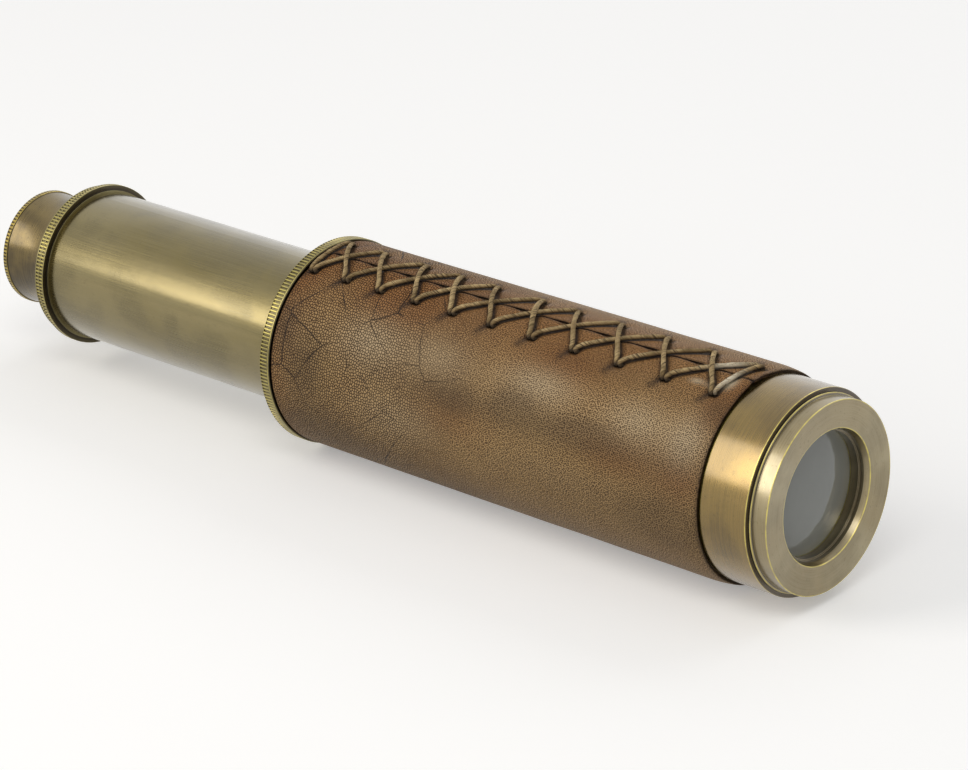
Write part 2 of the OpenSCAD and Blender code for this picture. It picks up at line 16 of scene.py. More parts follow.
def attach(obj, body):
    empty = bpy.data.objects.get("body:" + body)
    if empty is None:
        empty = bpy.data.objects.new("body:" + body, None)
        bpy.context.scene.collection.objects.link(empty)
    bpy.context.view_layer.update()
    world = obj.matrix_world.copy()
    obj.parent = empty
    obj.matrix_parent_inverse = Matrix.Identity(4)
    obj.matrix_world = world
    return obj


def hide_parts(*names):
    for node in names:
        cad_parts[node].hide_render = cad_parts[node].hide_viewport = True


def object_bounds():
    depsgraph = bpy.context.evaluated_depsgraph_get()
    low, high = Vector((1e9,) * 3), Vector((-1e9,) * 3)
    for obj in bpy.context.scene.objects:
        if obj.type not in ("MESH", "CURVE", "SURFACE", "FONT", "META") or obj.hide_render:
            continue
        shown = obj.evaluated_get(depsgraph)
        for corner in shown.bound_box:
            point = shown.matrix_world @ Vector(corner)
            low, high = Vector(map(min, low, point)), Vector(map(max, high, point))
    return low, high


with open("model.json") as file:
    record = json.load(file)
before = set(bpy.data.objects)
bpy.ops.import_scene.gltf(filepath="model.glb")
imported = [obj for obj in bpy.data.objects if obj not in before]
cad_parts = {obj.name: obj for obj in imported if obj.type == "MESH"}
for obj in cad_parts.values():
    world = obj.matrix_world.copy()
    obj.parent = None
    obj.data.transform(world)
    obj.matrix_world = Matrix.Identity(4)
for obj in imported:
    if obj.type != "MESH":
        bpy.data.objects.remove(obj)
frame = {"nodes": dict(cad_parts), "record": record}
cad_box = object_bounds()

MM = 0.001


def linear(hex_colour):
    """An sRGB hex colour as linear red, green, blue and alpha."""
    values = [int(hex_colour[i : i + 2], 16) / 255 for i in (1, 3, 5)]
    values = [v / 12.92 if v <= 0.04045 else ((v + 0.055) / 1.055) ** 2.4 for v in values]
    return (*values, 1.0)


def add(tree, kind, out=None, inputs=None, **settings):
    """Adds a node with its settings. An input takes a value or the socket that feeds it.

    Gives back the output that out names or numbers, or all the outputs.
    """
    node = tree.nodes.new("ShaderNode" + kind)
    for key, value in settings.items():
        setattr(node, key, value)
    for key, value in (inputs or {}).items():
        if isinstance(value, bpy.types.NodeSocket):
            tree.links.new(value, node.inputs[key])
        else:
            node.inputs[key].default_value = value
    return node.outputs if out is None else node.outputs[out]


def make_camera():
    """The camera of the photograph, from the outlines of the turned edges."""
    focal_px, frame_px = 3800, 968
    data = bpy.data.cameras.new("camera")
    data.sensor_width = 36
    data.lens = focal_px / frame_px * data.sensor_width
    data.clip_start, data.clip_end = 0.05, 20
    camera = bpy.data.objects.new("camera", data)
    right, up, back = (0.7439, 0.6674, -0.0356), (-0.2393, 0.3158, 0.9182), (0.624, -0.6745, 0.3946)
    turn = Matrix((right, up, back)).transposed()
    place = Matrix.Translation((0.50788, -0.67107, 0.39314))
    camera.matrix_world = place @ turn.to_4x4()
    bpy.context.scene.collection.objects.link(camera)
    bpy.context.scene.camera = camera


def make_lamp(name, place, target, size, watts, tint):
    """A soft lamp: an oblong panel that faces its target."""
    data = bpy.data.lights.new(name, "AREA")
    data.shape = "RECTANGLE"
    data.size, data.size_y = size
    data.energy = watts
    data.color = linear(tint)[:3]
    lamp = bpy.data.objects.new(name, data)
    lamp.location = place
    lamp.rotation_euler = (Vector(target) - Vector(place)).to_track_quat("-Z", "Y").to_euler()
    bpy.context.scene.collection.objects.link(lamp)


def seen_directly(tree):
    """1 for what the camera sees straight or in metal and glass, and 0 for light on the object."""
    path = add(tree, "LightPath")
    seen = add(
        tree, "Math", 0, {0: path["Is Camera Ray"], 1: path["Is Glossy Ray"]}, operation="MAXIMUM"
    )
    return add(tree, "Math", 0, {0: seen, 1: path["Is Transmission Ray"]}, operation="MAXIMUM")


def make_studio():
    """A pale floor under the spyglass, white surroundings and three soft lamps."""
    world = bpy.data.worlds.new("studio")
    bpy.context.scene.world = world
    world.use_nodes = True
    tree = world.node_tree
    tree.nodes.clear()
    soft = add(tree, "Background", 0, {"Color": linear("#ffffff"), "Strength": 0.38})
    white = add(tree, "Background", 0, {"Color": linear("#ffffff"), "Strength": 1.0})
    shown = add(tree, "MixShader", 0, {0: seen_directly(tree), 1: soft, 2: white})
    add(tree, "OutputWorld", None, {"Surface": shown})

    middle = (-0.14, 0, 0)
    floor_size, just_below = 6.0, 0.0001
    under = (middle[0], 0, cad_box[0].z - just_below)
    bpy.ops.mesh.primitive_plane_add(size=floor_size, location=under)
    floor = bpy.context.object
    floor.name = "floor"
    material = bpy.data.materials.new("pale_floor")
    material.use_nodes = True
    tree = material.node_tree
    tree.nodes.clear()
    matt = add(tree, "BsdfDiffuse", 0, {"Color": linear("#f4f4f4")})
    glow = add(tree, "Emission", 0, {"Color": linear("#ffffff"), "Strength": 0.28})
    lit = add(tree, "AddShader", 0, {0: matt, 1: glow})
    shown = add(tree, "MixShader", 0, {0: seen_directly(tree), 1: matt, 2: lit})
    add(tree, "OutputMaterial", None, {"Surface": shown})
    floor.data.materials.append(material)

    make_lamp("key_lamp", (-0.86, -1.0, 0.72), middle, (0.62, 0.92), 7.4, "#fffaf2")
    make_lamp("front_lamp", (0.3, -0.55, 1.0), middle, (0.6, 0.4), 2.6, "#fffdf8")
    make_lamp("back_lamp", (-0.1, 0.9, 0.8), middle, (1.2, 0.6), 2.2, "#ffffff")
    bpy.context.scene.view_settings.view_transform = "Standard"


def new_finish(name):
    """An empty material: itself, its node tree and its surface shader's sockets."""
    material = bpy.data.materials.new(name)
    material.use_nodes = True
    tree = material.node_tree
    tree.nodes.clear()
    surface = tree.nodes.new("ShaderNodeBsdfPrincipled")
    add(tree, "OutputMaterial", None, {"Surface": surface.outputs["BSDF"]})
    return material, tree, surface.inputs


def measured(tree):
    """A place on a piece in metres: the point, its x, its radius and its bearing round the axis."""
    point = add(tree, "TexCoord", "Object")
    parts = add(tree, "SeparateXYZ", None, {0: point})
    squares = [
        add(tree, "Math", 0, {0: parts[axis], 1: parts[axis]}, operation="MULTIPLY")
        for axis in ("Y", "Z")
    ]
    square = add(tree, "Math", 0, {0: squares[0], 1: squares[1]}, operation="ADD")
    radius = add(tree, "Math", 0, {0: square}, operation="SQRT")
    bearing = [
        add(tree, "Math", 0, {0: parts[axis], 1: radius}, operation="DIVIDE") for axis in ("Y", "Z")
    ]
    return point, parts["X"], radius, bearing


def turned_grain(tree, x, radius, bearing):
    """Turning marks round a piece, on its walls and its faces alike.

    They lie 0.2 mm apart, drawn coarser than a lathe leaves them so that they show.
    """
    spacing, around = 1 / (0.2 * MM), 2.0
    place = add(
        tree,
        "CombineXYZ",
        0,
        {
            0: add(tree, "Math", 0, {0: x, 1: spacing}, operation="MULTIPLY"),
            1: add(tree, "Math", 0, {0: radius, 1: spacing}, operation="MULTIPLY"),
            2: add(tree, "Math", 0, {0: bearing[0], 1: around}, operation="MULTIPLY"),
        },
    )
    turn = add(tree, "Math", 0, {0: bearing[1], 1: around}, operation="MULTIPLY")
    settings = {"Vector": place, "W": turn, "Scale": 1.0, "Detail": 3.0}
    return add(tree, "TexNoise", 0, settings, noise_dimensions="4D")


def drawn_grain(tree, point):
    """Scratches along a drawn tube, 20 mm long and drawn 0.2 mm wide so that they show."""
    wide, long = 1 / (0.2 * MM), 1 / (20 * MM)
    place = add(tree, "Mapping", 0, {0: point, "Scale": (long, wide, wide)})
    return add(tree, "TexNoise", 0, {"Vector": place, "Scale": 1.0, "Detail": 3.0})


def brass(name, body, bright, dark, edge, roughness, tarnish, turned=True, lacquer=0.0):
    """Brass, a yellow metal: marks of its making, cloudy tarnish, rubbed edges, and grime and painted
    shade in corners.

    Its colours are those of the clean metal, the polished streaks, the tarnish and the worn edges.
    """
    grime_and_shade = "#2a2010"
    material, tree, surface = new_finish(name)
    point, x, radius, bearing = measured(tree)
    if turned:
        fine = turned_grain(tree, x, radius, bearing)
    else:
        fine = drawn_grain(tree, point)
    # Haze lies in patches about 50 mm long and an eighth of the way round
    long, around = 1 / (50 * MM), 1.3
    patch = add(
        tree,
        "CombineXYZ",
        0,
        {
            0: add(tree, "Math", 0, {0: x, 1: long}, operation="MULTIPLY"),
            1: add(tree, "Math", 0, {0: bearing[0], 1: around}, operation="MULTIPLY"),
            2: add(tree, "Math", 0, {0: bearing[1], 1: around}, operation="MULTIPLY"),
        },
    )
    haze = add(tree, "TexNoise", 0, {"Vector": patch, "Scale": 1.0, "Detail": 2.0})
    # Tarnish lies in clouds of about 12 mm with specks of 0.8 mm in them, and rubs are 2.5 mm wide
    clouds = add(tree, "TexNoise", 0, {"Vector": point, "Scale": 1 / (12 * MM), "Detail": 3.0})
    specks = add(tree, "TexNoise", 0, {"Vector": point, "Scale": 1 / (0.8 * MM), "Detail": 2.0})
    rubs = add(tree, "TexNoise", 0, {"Vector": point, "Scale": 1 / (2.5 * MM), "Detail": 2.0})
    # The wear attribute is above 0 on rubbed edges, and below 0 where grime and painted shade darken
    # corners
    wear_and_shade = add(tree, "Attribute", "Fac", attribute_name="wear_and_shade")
    smooth = "SMOOTHSTEP"
    rubbed = add(tree, "MapRange", 0, {0: wear_and_shade, 1: 0.25, 2: 1.0}, interpolation_type=smooth)
    uneven = add(tree, "MapRange", 0, {0: rubs, 1: 0.35, 2: 0.6, 3: 0.4, 4: 0.95})
    cloudy = {0: clouds, 1: 0.38, 2: 0.66, 4: tarnish}
    stained = add(tree, "MapRange", 0, cloudy, interpolation_type=smooth)
    colour = linear(body)
    for share, coat in (
        (add(tree, "MapRange", 0, {0: haze, 1: 0.4, 2: 0.6, 4: 0.7}), bright),
        (stained, dark),
        (add(tree, "MapRange", 0, {0: fine, 1: 0.3, 2: 0.7, 4: 0.4}), bright),
        (add(tree, "MapRange", 0, {0: specks, 1: 0.62, 2: 0.75, 4: 0.4}), dark),
        (add(tree, "Math", 0, {0: rubbed, 1: uneven}, operation="MULTIPLY"), edge),
        # Grime and painted shade darken corners, gaps between parts and the gaps of knurls
        (add(tree, "MapRange", 0, {0: wear_and_shade, 1: -1.0, 2: -0.2, 3: 0.93, 4: 0.0}), grime_and_shade),
    ):
        colour = add(tree, "Mix", 2, {0: share, 6: colour, 7: linear(coat)}, data_type="RGBA")
    tree.links.new(colour, surface["Base Color"])
    surface["Metallic"].default_value = 1.0
    ends = {3: roughness - 0.04, 4: roughness + 0.07}
    scuffed = add(tree, "MapRange", 0, {0: fine, 1: 0.3, 2: 0.7, **ends})
    dulled = add(tree, "Math", 0, {0: stained, 1: 0.08, 2: scuffed}, operation="MULTIPLY_ADD")
    tree.links.new(dulled, surface["Roughness"])
    surface["Coat Weight"].default_value = lacquer
    surface["Coat IOR"].default_value = 1.55
    surface["Coat Roughness"].default_value = 0.19
    relief = add(tree, "Bump", 0, {"Height": fine, "Strength": 0.25, "Distance": 0.03 * MM})
    tree.links.new(relief, surface["Normal"])
    return material


def mottled(tree, apart, dark, light, detail=2.0):
    """A colour that wanders between a dark and a light one, over a distance in millimetres."""
    point = add(tree, "TexCoord", "Object")
    cloud = add(tree, "TexNoise", 0, {"Vector": point, "Scale": 1 / (apart * MM), "Detail": detail})
    return add(tree, "Mix", 2, {0: cloud, 6: linear(dark), 7: linear(light)}, data_type="RGBA")


def matt_black():
    """Brass painted matt black inside the tubes: dull and dark, so that the bore looks deep.

    The paint's grain is drawn 0.3 mm wide, the finest that shows.
    """
    material, tree, surface = new_finish("matt_black_paint")
    colour = mottled(tree, 0.3, "#0b0b0a", "#1b1a18")
    tree.links.new(colour, surface["Base Color"])
    surface["Roughness"].default_value = 0.75
    return material


def felt_finish():
    """Wool felt: a soft nap in tufts of 0.2 mm, which takes the shine off."""
    material, tree, surface = new_finish("green_wool_felt")
    colour = mottled(tree, 0.2, "#1a2a1b", "#33452f", detail=3.0)
    tree.links.new(colour, surface["Base Color"])
    surface["Roughness"].default_value = 0.95
    surface["Sheen Weight"].default_value = 0.3
    return material


def lens_glass():
    """Polished optical glass under a film of dust, grey with a painted reflection of the room's light.

    A faint bloom of age lies on it in clouds of 15 mm.
    """
    material, tree, surface = new_finish("polished_optical_glass")
    # Its grey colour paints the reflection of the room in the glass
    colour = mottled(tree, 15, "#969994", "#a3a6a0")
    tree.links.new(colour, surface["Base Color"])
    surface["Roughness"].default_value = 0.0
    surface["IOR"].default_value = 1.6
    surface["Transmission Weight"].default_value = 0.4
    return material


def foil_finish():
    """Tin foil spacer: thin, pale and slightly crumpled, with folds of 1 mm."""
    material, tree, surface = new_finish("tin_foil")
    colour = mottled(tree, 1, "#8f8f8c", "#c4c4c0")
    tree.links.new(colour, surface["Base Color"])
    surface["Metallic"].default_value = 1.0
    surface["Roughness"].default_value = 0.35
    return material


def leather_finish():
    """Vegetable-tanned leather, waxed and crackled: pale pebbles between dark pits and cracks."""
    material, tree, surface = new_finish("crackled_tanned_leather")
    point = add(tree, "TexCoord", "Object")
    mark = {
        key: add(tree, "Attribute", "Fac", attribute_name=key)
        for key in ("crackled", "reddened", "smudge_and_shade", "rubbed", "dulled", "pressed", "glued")
    }
    sheet = add(tree, "Attribute", "Vector", attribute_name="sheet")
    # Pinholes are drawn 0.48 mm apart, the finest that shows. Towards the rear they give way to a
    # crackle of 0.78 mm pebbles
    stray = {"Vector": sheet, "Scale": 1 / (0.9 * MM), "Detail": 1.0}
    wobble = add(tree, "TexNoise", "Color", stray)
    shift = add(tree, "VectorMath", 0, {0: wobble, 3: 0.2 * MM}, operation="SCALE")
    moved = add(tree, "VectorMath", 0, {0: sheet, 1: shift}, operation="ADD")
    pinhole, edge = [
        add(
            tree,
            "TexVoronoi",
            "Distance",
            {"Vector": moved, "Scale": 1 / (apart * MM), "Randomness": spread},
            voronoi_dimensions="2D",
            feature=feature,
        )
        for feature, apart, spread in (("F1", 0.48, 0.6), ("DISTANCE_TO_EDGE", 0.78, 0.85))
    ]
    holes = add(tree, "MapRange", 0, {0: pinhole, 1: 0.2, 2: 0.42, 3: 1.0, 4: 0.0})
    cracks = add(tree, "MapRange", 0, {0: edge, 1: 0.05, 2: 0.22, 3: 1.0, 4: 0.0})
    pits = add(tree, "Mix", 0, {0: mark["crackled"], 2: holes, 3: cracks})
    tops = add(tree, "MapRange", 0, {0: pits, 1: 0.0, 2: 0.3, 3: 1.0, 4: 0.0})
    # Some stretches are worn smoother than others, over 6 mm
    patchy = add(tree, "TexNoise", 0, {"Vector": point, "Scale": 1 / (6 * MM), "Detail": 3.0})
    depth = add(tree, "MapRange", 0, {0: patchy, 1: 0.3, 2: 0.6, 3: 0.85, 4: 1.0})
    deep = add(tree, "Math", 0, {0: pits, 1: depth}, operation="MULTIPLY")
    # The colour drifts over 18 mm
    clouds = {"Vector": point, "Scale": 1 / (18 * MM), "Detail": 4.0, "Roughness": 0.6}
    drift = add(tree, "TexNoise", 0, clouds)
    # Long thin creases from handling run 14 mm apart. They have faded, most of all at the front
    bend = add(tree, "TexNoise", "Color", {"Vector": sheet, "Scale": 1 / (5 * MM), "Detail": 2.0})
    sway = add(tree, "VectorMath", 0, {0: bend, 3: 1.6 * MM}, operation="SCALE")
    swayed = add(tree, "VectorMath", 0, {0: sheet, 1: sway}, operation="ADD")
    from_fold = add(
        tree,
        "TexVoronoi",
        "Distance",
        {"Vector": swayed, "Scale": 1 / (14 * MM)},
        voronoi_dimensions="2D",
        feature="DISTANCE_TO_EDGE",
    )
    line = add(tree, "MapRange", 0, {0: from_fold, 1: 0.004, 2: 0.02, 3: 1.0, 4: 0.0})
    where = add(tree, "MapRange", 0, {0: drift, 1: 0.46, 2: 0.56, 3: 0.0, 4: line})
    lasting = add(tree, "MapRange", 0, {0: mark["crackled"], 3: 0.15, 4: 1.0})
    creases = add(tree, "Math", 0, {0: where, 1: lasting}, operation="MULTIPLY")
    colour = linear("#82633c")
    for share, dye in (
        (add(tree, "MapRange", 0, {0: drift, 1: 0.35, 2: 0.65, 4: 0.8}), "#957850"),
        (add(tree, "MapRange", 0, {0: patchy, 1: 0.45, 2: 0.7, 4: 0.5}), "#745130"),
        (add(tree, "Math", 0, {0: tops, 1: 0.6}, operation="MULTIPLY"), "#c6a470"),
        (add(tree, "Math", 0, {0: mark["reddened"], 1: 0.72}, operation="MULTIPLY"), "#8a5628"),
        # Paler patches, partly rubbed and partly a painted sheen
        (add(tree, "Math", 0, {0: mark["rubbed"], 1: 0.8}, operation="MULTIPLY"), "#c0aa88"),
        # Darker patches, partly dirt and partly painted shade
        (add(tree, "Math", 0, {0: mark["dulled"], 1: 0.6}, operation="MULTIPLY"), "#5c4a34"),
        (add(tree, "Math", 0, {0: deep, 1: 0.97}, operation="MULTIPLY"), "#22170e"),
        (add(tree, "Math", 0, {0: creases, 1: 0.95}, operation="MULTIPLY"), "#22170e"),
        # Painted shadow of the strands on the leather beside them
        (add(tree, "Math", 0, {0: mark["pressed"], 1: 0.9}, operation="MULTIPLY"), "#1d140d"),
        # Stained cut edges, and dirt and painted shade round the holes
        (mark["smudge_and_shade"], "#241b15"),
        (mark["glued"], "#dccfb2"),
    ):
        colour = add(tree, "Mix", 2, {0: share, 6: colour, 7: linear(dye)}, data_type="RGBA")
    tree.links.new(colour, surface["Base Color"])
    tree.links.new(add(tree, "MapRange", 0, {0: pits, 3: 0.42, 4: 0.72}), surface["Roughness"])
    surface["Specular IOR Level"].default_value = 0.14
    height = add(tree, "Math", 0, {0: pits, 1: creases}, operation="ADD")
    height = add(tree, "Math", 0, {0: 1.0, 1: height}, operation="SUBTRACT")
    relief = add(tree, "Bump", 0, {"Height": height, "Strength": 0.6, "Distance": 0.1 * MM})
    tree.links.new(relief, surface["Normal"])
    return material


def twine_finish():
    """Waxed linen twine: dusty khaki fibres along the twist.

    It has painted shade in its grooves and low down by the leather, and a worn top under a painted
    highlight.
    """
    material, tree, surface = new_finish("waxed_linen_twine")
    point = add(tree, "TexCoord", "Object")
    strand = add(tree, "Attribute", "Vector", attribute_name="strand")
    mark = {
        key: add(tree, "Attribute", "Fac", attribute_name=key)
        for key in ("crown", "glued", "groove", "sunk_shade")
    }
    # Bundles of fibres are drawn 0.4 mm thick, so that they show, and run 4 mm before they dive under
    thick, long = 1 / (0.4 * MM), 1 / (4 * MM)
    stretch = add(tree, "Mapping", 0, {0: strand, "Scale": (thick, thick, long)})
    fibres = add(tree, "TexNoise", 0, {"Vector": stretch, "Scale": 1.0, "Detail": 3.0})
    dust = add(tree, "TexNoise", 0, {"Vector": point, "Scale": 1 / (6 * MM), "Detail": 2.0})
    bundles = add(tree, "MapRange", 0, {0: fibres, 1: 0.38, 2: 0.56})
    colour = linear("#4a3b26")
    for share, dye in (
        (bundles, "#a5895b"),
        # A worn top under a painted highlight
        (add(tree, "Math", 0, {0: mark["crown"], 1: bundles}, operation="MULTIPLY"), "#ccb281"),
        (add(tree, "MapRange", 0, {0: dust, 1: 0.42, 2: 0.64, 4: 0.6}), "#66502c"),
        # Painted shade in the grooves between the plies
        (add(tree, "Math", 0, {0: mark["groove"], 1: 0.18}, operation="MULTIPLY"), "#35281a"),
        # Painted shade where the cord sinks towards the leather
        (add(tree, "Math", 0, {0: mark["sunk_shade"], 1: 0.85}, operation="MULTIPLY"), "#2a1f14"),
        (mark["glued"], "#e6dcc4"),
    ):
        colour = add(tree, "Mix", 2, {0: share, 6: colour, 7: linear(dye)}, data_type="RGBA")
    tree.links.new(colour, surface["Base Color"])
    surface["Roughness"].default_value = 0.85
    relief = add(tree, "Bump", 0, {"Height": fibres, "Strength": 0.6, "Distance": 0.1 * MM})
    tree.links.new(relief, surface["Normal"])
    return material


def soften(outline, fillet):
    """Rounds the corners of a closed outline and gives each point its wear and painted shade.

    The value is 1 on a rubbed edge, -1 in a corner darkened by grime and painted shade, and 0 on a
    wall. A third number at a corner is the value there and on the walls beside it. A blunt corner
    counts for less, and one that is nearly straight keeps its one point.
    """
    nearly_straight, blunt, blunt_share = math.radians(82), math.radians(70), 0.4
    curve = (0.0, 0.33, 0.67, 1.0)
    wear_reach, least_reach = 0.3, 0.05
    most_of_side = 0.45
    n = len(outline)
    area = sum(
        outline[i][0] * outline[(i + 1) % n][1] - outline[(i + 1) % n][0] * outline[i][1]
        for i in range(n)
    )
    points = []
    for i in range(n):
        before, here, after = (Vector(outline[j % n][:2]) for j in (i - 1, i, i + 1))
        back, ahead = before - here, after - here
        half = back.angle(ahead) / 2
        wall = outline[i][2] if len(outline[i]) > 2 else 0.0
        if half > nearly_straight:
            points.append((here.x, here.y, wall))
            continue
        cut = min(fillet / math.tan(half), most_of_side * min(back.length, ahead.length))
        side = 1.0 if (ahead.x * back.y - ahead.y * back.x) * area > 0 else -1.0
        if half > blunt:
            side *= blunt_share
        if wall:
            side = wall
        start, end = here + back.normalized() * cut, here + ahead.normalized() * cut
        rounded = [start * (1 - t) ** 2 + here * 2 * t * (1 - t) + end * t**2 for t in curve]
        made = [(p.x, p.y, side) for p in rounded]
        leads = [min(wear_reach, most_of_side * way.length - cut * 0.5) for way in (back, ahead)]
        if leads[0] > least_reach:
            p = start + back.normalized() * leads[0]
            made.insert(0, (p.x, p.y, wall))
        if leads[1] > least_reach:
            p = end + ahead.normalized() * leads[1]
            made.append((p.x, p.y, wall))
        points += made
    return points


def make_piece(name, body, finishes, points, faces, attributes, node, inner=None, sharp=35):
    """A mesh from its points in millimetres, with smooth shading, riding on its body.

    Faces that inner marks take the second finish, and an edge that turns by more than sharp degrees
    stays crisp.
    """
    mesh = bpy.data.meshes.new(name)
    mesh.from_pydata([tuple(p) for p in np.asarray(points) * MM], [], faces)
    for finish in finishes:
        mesh.materials.append(finish)
    if inner is not None:
        mesh.polygons.foreach_set("material_index", np.asarray(inner, np.int32))
    for key, values in attributes.items():
        values = np.asarray(values, np.float32)
        vector = values.ndim == 2
        made = mesh.attributes.new(key, "FLOAT_VECTOR" if vector else "FLOAT", "POINT")
        made.data.foreach_set("vector" if vector else "value", values.ravel())
    work = bmesh.new()
    work.from_mesh(mesh)
    bmesh.ops.recalc_face_normals(work, faces=work.faces)
    work.to_mesh(mesh)
    work.free()
    mesh.polygons.foreach_set("use_smooth", [True] * len(mesh.polygons))
    mesh.set_sharp_from_angle(angle=math.radians(sharp))
    piece = bpy.data.objects.new(name, mesh)
    bpy.context.scene.collection.objects.link(piece)
    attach(piece, body)
    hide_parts(node)
    return piece


KNURL_PITCH = 1.03
# Each side of a knurl's bar slopes over this share of the pitch
KNURL_FLANK = 0.12
# Grime and painted shade fill a knurl's gaps, and the tops of its bars are rubbed bright
GAP_GRIME_AND_SHADE, BAR_WEAR = -0.55, 0.75
PLAIN_STEPS = 240


def turn_piece(name, body, finish, node, outline, fillet=0.1, knurl=None, painted=None):
    """Spins a closed outline of (s, r) about the line of sight.

    A knurl is its start, end, outer radius, depth and the share of its pitch that its bars' tops fill.
    Painted is the start, end and radius of the walls that are black inside.
    """
    profile = soften(outline, fillet)
    s, r, wear_and_shade = (np.array(column) for column in zip(*profile))
    if knurl:
        start, end, outer_r, depth, bar = knurl
        count = round(2 * math.pi * outer_r / KNURL_PITCH)
        steps = np.array([0.0, bar, bar + KNURL_FLANK, 1 - KNURL_FLANK])
        turns = (np.arange(count)[:, None] + steps[None, :]).ravel() / count * 2 * math.pi
        grooved = np.tile(np.array([0.0, 0.0, 1.0, 1.0]), count)
        near = 1e-6
        cut = np.where((s > start) & (s < end) & (abs(r - outer_r) < near), depth, 0.0)
    else:
        turns = np.arange(PLAIN_STEPS) / PLAIN_STEPS * 2 * math.pi
        grooved = np.zeros(PLAIN_STEPS)
        cut = np.zeros_like(s)
    radius = r[:, None] - cut[:, None] * grooved[None, :]
    cells = np.where(grooved[None, :] > 0, GAP_GRIME_AND_SHADE, BAR_WEAR) + 0 * radius
    wear_and_shade = np.where(cut[:, None] > 0, cells, wear_and_shade[:, None])
    back = -s[:, None] + 0 * radius
    points = np.stack([back, radius * np.sin(turns), radius * np.cos(turns)], -1).reshape(-1, 3)
    n, m = radius.shape
    i, j = np.arange(n)[:, None], np.arange(m)[None, :]
    after_i, after_j = (i + 1) % n, (j + 1) % m
    faces = np.stack(
        [i * m + j, after_i * m + j, after_i * m + after_j, i * m + after_j], -1
    ).reshape(-1, 4)
    finishes, inner = [finish], None
    if painted:
        start, end, within = painted
        dark = (s > start) & (s < end) & (r < within)
        inner = np.repeat(dark & np.roll(dark, -1), m)
        finishes = [finish, black_paint]
    return make_piece(
        name, body, finishes, points, faces.tolist(), {"wear_and_shade": wear_and_shade.ravel()}, node, inner
    )


TUBE_R = 26.4
LEATHER_R = 28.0
LEATHER_THICK = 1.3
LEATHER_FRONT = 19.25
LEATHER_BACK = 164.1
SEAM = math.radians(-10)
# The rows of holes lie this far to either side of the seam
HALF_SPREAD = math.radians(15.5)
CORD_R = 0.66
STATIONS = 11
LAST = STATIONS - 1
HOLE_APART = 1.35
# The far row of holes was punched by eye, this far ahead of the near row at each station
FAR_AHEAD = (3.3, 4.0, 4.0, 3.6, 3.4, 5.0, 2.8, 3.4, 3.4, 0.8, 0.4)


def station(k):
    """Place of a lacing station: a little closer together towards the rear."""
    first, reach, crowding = 7, 135.5, 19
    t = k / LAST
    return LEATHER_FRONT + first + reach * t + crowding * t * (1 - t)


def hole(k, row, end):
    """Place of a hole: row -1 is the near row and 1 the far one, end -1 the fore hole and 1 the aft."""
    ahead = FAR_AHEAD[k] if row > 0 else 0.0
    return station(k) - ahead + end * HOLE_APART / 2


def ripple(values, seed, waves=5):
    """A smooth uneven curve of about -1 to 1 over values in millimetres."""
    draw = np.random.default_rng(seed)
    total = np.zeros_like(values, dtype=float)
    for _ in range(waves):
        height, length, start = draw.uniform(0.4, 1), draw.uniform(3, 14), draw.uniform(0, 6.3)
        total += height * np.sin(values / length + start)
    return total / waves


def lacing_route():
    """The cord's line as rows of s, r, angle, half width and half thickness, in one length.

    It crosses the seam over the leather from the far row to the near one, and goes back under it.
    """
    over_r, over_t = LEATHER_R + CORD_R, CORD_R * 0.9
    # Under the leather the cord is pressed flat, just clear of the tube
    flat_w, flat_t, clear = CORD_R * 0.96, CORD_R * 0.4, 0.14
    under_r = TUBE_R + flat_t + clear
    bend_r = (over_r - under_r) / 2
    span = bend_r / LEATHER_R
    # Where the cord meets itself on its way back, it rises over the strand that lies there
    cross_rise, under_rise = 1.25, 2 * flat_t + 0.08

    def row(side):
        return SEAM + side * HALF_SPREAD

    def inner(side):
        return row(side) - side * span

    def between(a, b, t):
        return a + (b - a) * t

    def over(s0, s1, rise):
        return [
            (
                between(s0, s1, t),
                over_r + rise * math.sin(math.pi * t) ** 1.5,
                between(inner(1), inner(-1), t),
                CORD_R,
                over_t,
            )
            for t in (0.08, 0.3, 0.5, 0.7, 0.92)
        ]

    def under(s0, s1, rise):
        return [
            (
                between(s0, s1, t),
                under_r + rise * (1 if t == 0.5 else 0.52),
                between(inner(-1), inner(1), t),
                flat_w,
                flat_t,
            )
            for t in (0.15, 0.5, 0.85)
        ]

    def through(side, s):
        made = []
        for degrees in (45, 90, 135) if side < 0 else (135, 90, 45):
            down, bend = degrees / 180, math.radians(degrees)
            made.append(
                (
                    s,
                    under_r + bend_r + bend_r * math.cos(bend),
                    inner(side) + side * span * math.sin(bend),
                    between(CORD_R, flat_w, down),
                    between(over_t, flat_t, down),
                )
            )
        return made

    def stitch(s0, s1, s2, rise, low_rise):
        return over(s0, s1, rise) + through(-1, s1) + under(s1, s2, low_rise) + through(1, s2)

    route = under(hole(0, -1, 1), hole(0, 1, 1), 0)[1:] + through(1, hole(0, 1, 1))
    for k in range(LAST):
        route += stitch(hole(k, 1, 1), hole(k + 1, -1, -1), hole(k + 1, 1, 1), 0, 0)
    route += stitch(hole(LAST, 1, 1), hole(LAST, -1, 1), hole(LAST, 1, -1), 0, under_rise)
    for k in range(LAST, 0, -1):
        ends = hole(k, 1, -1), hole(k - 1, -1, 1), hole(k - 1, 1, -1)
        route += stitch(*ends, cross_rise, under_rise)
    return route + over(hole(0, 1, -1), hole(0, -1, -1), 0) + through(-1, hole(0, -1, -1))[:2]


def mound(reach):
    """A soft rise: 1 at its middle, and about a third where the reach is 1."""
    return np.exp(-(reach**2))


def fading(reach):
    """1 at an edge, and about a third where the reach is 1."""
    return np.exp(-reach)


